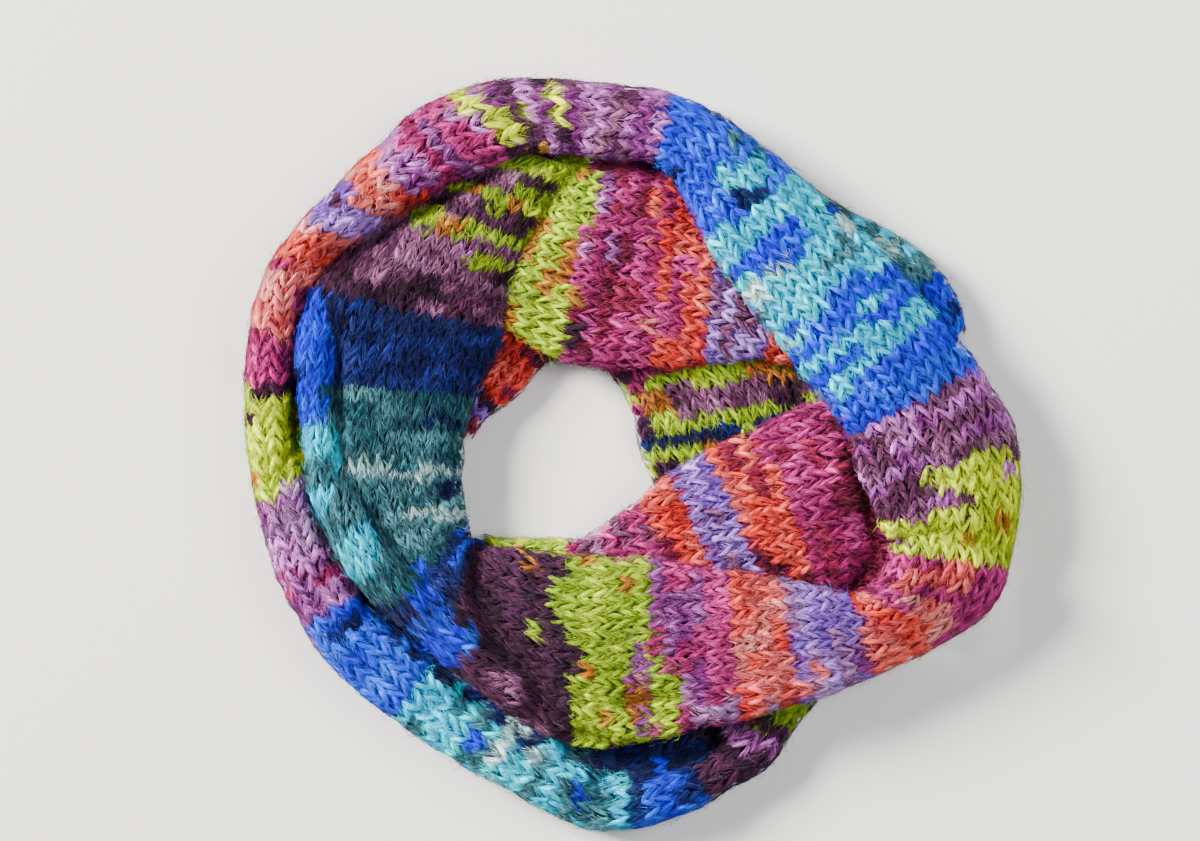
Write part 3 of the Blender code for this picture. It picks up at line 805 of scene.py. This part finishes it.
knit_stretch(
    "left_outer_stretch", BAND_CLOTH, (11, 19),
    stripes=(
        # painted light: lime brightened where daylight falls on the roll
        # painted light: paler mauve stitches where daylight falls on the roll
        (10, "mauve", "magenta", 0.35), (11.2, "mauve", "painted_lit_mauve", 0.5), (12.05, "painted_sunlit_lime", "golden", 0.12),
        (12.95, "painted_sunlit_lime", "plum", 0.4), (13.5, "magenta", "salmon", 0.35),
        (14.4, "salmon", "magenta", 0.2), (15.3, "orange", "salmon", 0.7),
        (16.3, "violet", "plum", 0.3), (17.0, "orange", "salmon", 0.3),
        (17.6, "magenta", "mauve", 0.55),
    ),
    patches=(
        (-158, 2, 9, 6, "golden", 0.4), (-155, 60, 9, 12, "salmon", 0.4),
        (-120, 112, 8, 8, "salmon", 0.4),
    ),
    seed=12, nap=1.5,
)

# ---- The top outer stretch ----
# The same roll over the top of the coil, magenta and mauve with lime stitches.

knit_stretch(
    "top_outer_stretch", BAND_CLOTH, (19, 23),
    stripes=(
        (18, "magenta", "mauve", 0.55), (19.6, "plum", "mauve", 0.4), (20.9, "mauve", "heather", 0.15),
        (22.75, "blue", "navy", 0.1),
    ),
    patches=(
        # painted light: lime stitches brightened where daylight falls on the roll
        (-74, 159, 9, 6, "painted_sunlit_lime", 0.9), (-55, 150, 10, 9, "painted_sunlit_lime", 1.0), (-36, 154, 5, 11, "painted_sunlit_lime", 0.8),
        (-42, 139, 6, 4, "golden", 0.5),
    ),
    seed=13, nap=1.5,
)

# ---- The crossing stretch ----
# The wide flat band at the upper right, blue and aqua, which crosses over the layers below.

knit_stretch(
    "crossing_stretch", BAND_CLOTH, (23, 31),
    stripes=(
        (22, "mauve", "magenta", 0.2), (22.75, "blue", "navy", 0.12), (25.2, "aqua", "blue", 0.06),
        (25.9, "blue", "aqua", 0.05), (26.28, "aqua", "teal", 0.12), (27.1, "blue", "aqua", 0.3),
        (28.0, "aqua", "blue", 0.25), (28.25, "blue", "navy", 0.1), (29.02, "mauve", "heather", 0.45),
        (29.9, "heather", "mauve", 0.45),
    ),
    patches=(
        (48, 127, 12, 10, "aqua", 0.6), (75, 46, 9, 9, "aqua", 0.8), (50, 139, 12, 5, "teal", 0.5),
        (85, 113, 5, 4, "navy", 0.8), (56, 73, 5, 5, "cream", 0.9), (64, 82, 5, 4, "cream", 0.9),
        (72, 89, 5, 3.5, "cream", 0.8), (71, 53, 4, 4, "cream", 0.8), (95, 103, 5, 4, "cream", 0.7),
        # painted light: lime brightened where daylight falls on the crossing's right end
        (159, -9, 16, 11, "painted_sunlit_lime", 0.95), (139, -11, 10, 4, "painted_sunlit_lime", 0.75),
    ),
    seed=14,
)

# ---- The right turn ----
# Where the band turns back at the right and rolls over: lime, then magenta and orange.

knit_stretch(
    "right_turn", BAND_CLOTH, (31, 35),
    stripes=(
        # painted light: lime brightened where daylight falls on the turn
        (30, "mauve", "heather", 0.5), (30.8, "painted_sunlit_lime", "golden", 0.06),
        (32.05, "magenta", "salmon", 0.15), (33.6, "orange", "salmon", 0.35),
        (34.6, "violet", "mauve", 0.15),
    ),
    patches=(
        # painted light: a patch of lime brightened by daylight
        (115, -26, 18, 13, "heather", 0.7), (124, -33, 13, 4, "painted_sunlit_lime", 0.8),
        (146, -25, 6, 4, "magenta", 0.7), (160, -39, 8, 5, "golden", 0.4),
    ),
    seed=15,
)

# ---- The front stretch ----
# The wide flat band along the front, violet, orange, magenta, lime and plum, with a rolled lower edge.

knit_stretch(
    "front_stretch", BAND_CLOTH, (35, 42),
    stripes=(
        # painted light: paler mauve stitches among the violet
        (34, "orange", "salmon", 0.5), (34.6, "violet", "painted_lit_mauve", 0.3), (35.8, "orange", "salmon", 0.7),
        (36.7, "magenta", "mauve", 0.45), (37.85, "lime", "golden", 0.03), (39.2, "plum", "plum", 0),
        (41.5, "blue", "navy", 0.4),
    ),
    patches=(
        (76, -98, 14, 8, "salmon", 0.4), (16, -106, 7, 22, "lime", 0.9),
        (3, -104, 4.5, 21, "mauve", 0.9), (2, -110, 5, 10, "golden", 0.35),
        # painted light: the first patch is paler mauve along the front's lit lower edge
        (46, -113, 22, 6, "painted_lit_mauve", 0.5), (-31, -65, 5, 9, "lime", 0.8), (-42, -78, 5, 5, "lime", 0.7),
        (-50, -52, 9, 4, "golden", 0.3), (-60, -106, 12, 8, "heather", 0.7),
        (-40, -117, 12, 7, "heather", 0.7), (-84, -82, 13, 11, "blue", 0.85),
    ),
    seed=16, nap=1.5,
)

# ---- The left inner stretch ----
# The wide band inside the left roll: blue, teal with two cream rows, blue, plum and lime. Its outer
# edge is rolled up, and at the top it dips under the outer roll.

knit_stretch(
    "left_inner_stretch", BAND_CLOTH, (42, 54),
    stripes=(
        (40, "blue", "navy", 0.5), (42.4, "teal", "blue", 0.35), (43.1, "teal", "teal", 0),
        (46.6, "navy", "navy", 0), (48.7, "heather", "plum", 0.3), (50.55, "heather", "mauve", 0.3),
        (51.25, "lime", "plum", 0.4), (51.6, "heather", "plum", 0.4), (52.0, "lime", "golden", 0.3),
        (52.5, "plum", "heather", 0.5), (53.1, "lime", "plum", 0.3),
    ),
    patches=(
        (-143, 43, 8, 32, "blue", 0.95), (-140, -6, 8, 24, "aqua", 0.8),
        (-121, -44, 7, 13, "aqua", 0.6), (-106, -7, 27, 3.3, "cream", 0.95),
        (-90, -27, 14, 3.3, "cream", 0.9), (-86, 15, 9, 4, "navy", 0.6), (-84, -16, 4, 5, "navy", 0.8),
        (-68, 86, 11, 4, "lime", 0.75), (-91, 107, 9, 5, "lime", 0.85), (-75, 101, 9, 5, "lime", 0.8),
        (-82, 102, 7, 4, "golden", 0.4), (-38, 130, 13, 7, "lime", 0.85),
        # painted shade: navy in the gutter beside the left roll
        (-106, -74, 15, 8, "navy", 0.8),
    ),
    seed=17, nap=1.5,
)

# ---- The top inner stretch ----
# From the crease at the upper left the tube runs to the right: lime, magenta, orange and violet. It
# goes under the crossing stretch.

TOP_INNER = table(
    Section,
    (-36, 137, -68, 62, 6, 10, 8, 8, 5),
    (-27, 139, -48, 53, 11, 16, 9, 9, 8),
    (-12, 139, -25, 42, 11, 17, 9, 9, 8),
    (12, 136, 3, 40, 11, 17, 9, 9, 7),
    (37, 123, 30, 42, 12, 17, 8, 9, 5),
    (64, 99, 55, 44, 13, 16, 8, 9, 3),
    (89, 74, 78, 40, 14, 15, 8, 8, 1),
)
TOP_INNER_CLOTH = lay_cloth(TOP_INNER, ((0, 6.8), (6, 7.6)), (
    (((-26, 130), (-44, 96), (-62, 61)), 6.0, -3.0),
    (((-8, 130), (-22, 90), (-34, 54)), 8.0, 2.0),
    (((-30, 133), (20, 131), (44, 117)), 6.5, -6.0),
    (((30, 120), (22, 84), (30, 52)), 9.0, -1.8),
))

knit_stretch(
    "top_inner_stretch", TOP_INNER_CLOTH, (0, 6),
    stripes=(
        (0, "lime", "golden", 0.28), (1.6, "magenta", "red", 0.25), (2.95, "orange", "magenta", 0.2),
        (3.95, "violet", "heather", 0.3), (4.9, "orange", "red", 0.2),
    ),
    patches=(
        (0, 80, 10, 40, "salmon", 0.15), (-26, 56, 6, 8, "plum", 0.5), (-10, 100, 14, 34, "mauve", 0.2),
    ),
    seed=18,
)

# ---- The inner fold and the rim ----
# The tube's inner half, folded down behind the front stretch to the rim of the neck hole: dark
# magenta, orange, violet, orange and magenta.

INNER_HALF = table(
    Section,
    (130, -58, 111, 7, 13, 15, 8, 9, 2),
    (111, -68, 89, 23, 15, 18, 9, 9, 4),
    (89, -68, 62, 14, 17, 19, 9, 9, 5),
    (71, -65, 42, 4, 17, 19, 9, 9, 5),
    (53, -63, 26, -4, 16, 19, 9, 9, 5),
    (33, -61, 10, -16, 14, 17, 9, 10, 4),
    (12, -58, -1, -26, 12, 13, 9, 10, 3),
    (-6, -56, -15, -35, 9, 9, 9, 10, 1),
    (-19, -54, -24, -41, 7, 7, 9, 10, 0),  # 8, the rim
    (-35, -53, -35, -40, 5, 5, 9, 10, 0),
    (-51, -50, -51, -40, 5, 5, 9, 10, 0),
    (-64, -47, -64, -39, 5, 5, 8, 9, 0),
    (-77, -44, -76, -34, 4, 4, 7, 8, 0),
)
INNER_HALF_CLOTH = lay_cloth(INNER_HALF, ((0, 7.4), (12, 7.0)), (
    (((104, -30), (84, -6), (66, 8)), 7.0, -1.6),
    (((60, -40), (38, -20), (24, -8)), 8.0, 1.4),
    (((106, -6), (110, -40), (100, -62), (60, -62), (20, -60)), 7.0, -5.0),
))

knit_stretch(
    "inner_fold", INNER_HALF_CLOTH, (0, 8),
    stripes=(
        # the red and heather stitches are partly the yarn's own and partly painted shade, where the fold
        # lies under the crossing stretch
        (0, "red", "magenta", 0.2), (0.9, "magenta", "red", 0.3), (2.2, "orange", "red", 0.2),
        (3.25, "violet", "heather", 0.3), (4.45, "orange", "red", 0.25),
        (5.4, "magenta", "heather", 0.35),
    ),
    # painted shade: dark red where the fold lies deepest under the crossing stretch
    patches=((104, 0, 14, 20, "red", 0.6),),
    seed=19,
)
knit_stretch(
    "inner_rim", INNER_HALF_CLOTH, (8, 12),
    stripes=(
        (7, "magenta", "red", 0.3), (8.3, "lime", "golden", 0.1), (10.2, "plum", "lime", 0.1),
        (11.3, "blue", "navy", 0.5),
    ),
    seed=20,
)

# ---- The lowest winding ----
# What shows of the first winding laid down, right and left of the neck hole.

LOWEST_RIGHT = table(
    Section,
    (62, 65, -15, 46, 7, 6, 14, 12, 0),
    (75, 54, -5, 34, 7, 5.5, 13, 11, 0),
    (89, 40, 2, 20, 7, 5, 13, 10, 0),
    (98, 25, 5, 6, 6, 5, 12, 10, 0),
    (105, 7, 9, -8, 6, 5, 12, 10, 0),
    (109, -11, 16, -20, 6, 5, 11, 10, 0),
)
knit_stretch(
    "lowest_right_stretch", lay_cloth(LOWEST_RIGHT, ((0, 6.3),)), (0, 5),
    stripes=(
        (0, "magenta", "plum", 0.3), (0.8, "lime", "golden", 0.15), (1.6, "heather", "golden", 0.2),
        (2.2, "lime", "plum", 0.12), (2.85, "navy", "plum", 0.2), (3.3, "lime", "golden", 0.1),
        (3.8, "plum", "lime", 0.15),
    ),
    patches=((2, 28, 6, 12, "magenta", 0.4), (72, 28, 12, 7, "plum", 0.75)),
    seed=21,
)

LOWEST_LEFT = table(
    Section,
    (-93, 16, -76, 7, 6, 6, 12, 12, 0),
    (-87, 32, -69, 16, 6, 6, 12, 12, 0),
    (-75, 50, -54, 28, 6, 6, 12, 12, 0),
    (-57, 65, -40, 44, 6, 6, 12, 12, 0),
    (-33, 70, -24, 46, 6, 6, 12, 12, 0),
)
knit_stretch(
    "lowest_left_stretch", lay_cloth(LOWEST_LEFT, ((0, 6.8),)), (0, 4),
    stripes=(
        (0, "salmon", "red", 0.3), (0.7, "violet", "plum", 0.3), (1.4, "orange", "red", 0.2),
        (2.7, "red", "orange", 0.2),
    ),
    seed=22,
)

# ---- The layer under the crossing ----
# The edge of a lower winding that shows outside the crossing stretch: dark teal and navy.

UNDERLAP = table(
    Section,
    (75, 124, 67, 112, 4, 5, 8, 9, 0),
    (94, 110, 82, 96, 6, 11, 12, 22, 0),
    (114, 100, 98, 81, 7, 11.5, 14, 23, 0),
    (133, 87, 113, 66, 7, 11.5, 14, 23, 0),
    (146, 68, 125, 49, 7, 11, 14, 22, 0),
    (150, 47, 132, 34, 4, 6, 8, 12, 0),
)
knit_stretch(
    "crossing_underlap", lay_cloth(UNDERLAP, ((0, 7.0),)), (0, 5),
    stripes=((0, "teal", "aqua", 0.25), (3.2, "blue", "navy", 0.4)),
    patches=((112, 92, 8, 8, "cream", 0.4),),
    seed=23,
)

# ---- The hidden windings ----
# The layers that nothing shows of but their edges, as one rounded heap of the same knitted cloth.

SAME_POINT = 0.02 * MM
HEAP_RADIUS = 105  # of the middle of the ring
HEAP_STITCH = 7
# painted shade on the heap's ground: darker between the legs, lighter on them
HEAP_PAINTED_SHADE = 0.45, 0.9

joined = bmesh.new()
joined.from_mesh(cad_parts["hidden_windings"].data)
bmesh.ops.remove_doubles(joined, verts=joined.verts, dist=SAME_POINT)
joined.verts.index_update()
points = np.array([vertex.co for vertex in joined.verts]) / MM
corners = np.array([vertex.index for face in joined.faces for vertex in face.verts])
sizes = np.array([len(face.verts) for face in joined.faces])
joined.free()
x, y = points.T[:2]
angle, stitch = np.arctan2(y, x), np.hypot(x, y) / HEAP_STITCH
row = angle * HEAP_RADIUS / ROW
# its stripes open at angles round the ring
heap_stripes = table(
    Stripe, (-4.0, "blue", "navy", 0.5), (-2.4, "plum", "mauve", 0.3), (-1.0, "red", "magenta", 0.3),
    (0.3, "teal", "navy", 0.3), (1.4, "magenta", "plum", 0.3), (2.4, "plum", "blue", 0.3),
)
heap_yarn = Yarn(heap_stripes, (), np.random.default_rng(24).normal(0, 1, (5, FIELD_LENGTH)))
tone = yarn_tones(heap_yarn, angle, np.floor(row), np.round(stitch), x, y)
colours = ground_colours(tone, HEAP_PAINTED_SHADE)
knit = {"knit": np.stack([stitch, row], axis=1)[corners]}
heap = make_mesh("hidden_windings_cloth", points, corners, sizes, knit, colours)
heap.data.materials.append(GROUND_WOOL)
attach(heap, "root")
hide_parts("hidden_windings")

# ---- Floor, light and camera ----
# A plain pale floor, a large soft light from the left, and a camera straight above.

FLOOR_HALF = 3.0
floor_mesh = bpy.data.meshes.new("floor")
floor_mesh.from_pydata(
    [(x * FLOOR_HALF, y * FLOOR_HALF, 0) for x, y in ((-1, -1), (1, -1), (1, 1), (-1, 1))], [],
    [(0, 1, 2, 3)],
)
floor = bpy.data.objects.new("floor", floor_mesh)
bpy.context.scene.collection.objects.link(floor)
floor_paint = {"Base Color": (0.62, 0.60, 0.57, 1), "Roughness": 0.8}
floor_mesh.materials.append(principled("pale_floor", floor_paint)[0])


def soft_light(name, place, size, power, colour):
    """A square area light that faces the middle of the scarf."""
    data = bpy.data.lights.new(name, "AREA")
    data.size, data.energy, data.color = size, power, colour
    light = bpy.data.objects.new(name, data)
    light.location = place
    light.rotation_euler = (-light.location).to_track_quat("-Z", "Y").to_euler()
    bpy.context.scene.collection.objects.link(light)


soft_light("window", (-2.9, 1.4, 1.85), 1.3, 900, (1.0, 0.985, 0.96))
soft_light("fill", (1.3, 0.2, 1.5), 1.2, 60, (0.93, 0.96, 1.0))
world = bpy.data.worlds.new("studio")
world.use_nodes = True
sky = world.node_tree.nodes["Background"].inputs
sky["Color"].default_value, sky["Strength"].default_value = (0.9, 0.93, 1.0, 1), 0.17
bpy.context.scene.world = world

CAMERA_HEIGHT = 1.6
AIM_X, AIM_Y = -14.625, 15.525  # mm, the middle of the view
AIM_HEIGHT = 0.018
VIEW_WIDTH = 0.540  # of the plane at AIM_HEIGHT
SENSOR_WIDTH = 36
lens = bpy.data.cameras.new("camera")
lens.sensor_width = SENSOR_WIDTH
lens.lens = SENSOR_WIDTH * (CAMERA_HEIGHT - AIM_HEIGHT) / VIEW_WIDTH
camera = bpy.data.objects.new("camera", lens)
camera.location = (AIM_X * MM, AIM_Y * MM, CAMERA_HEIGHT)
bpy.context.scene.collection.objects.link(camera)
bpy.context.scene.camera = camera
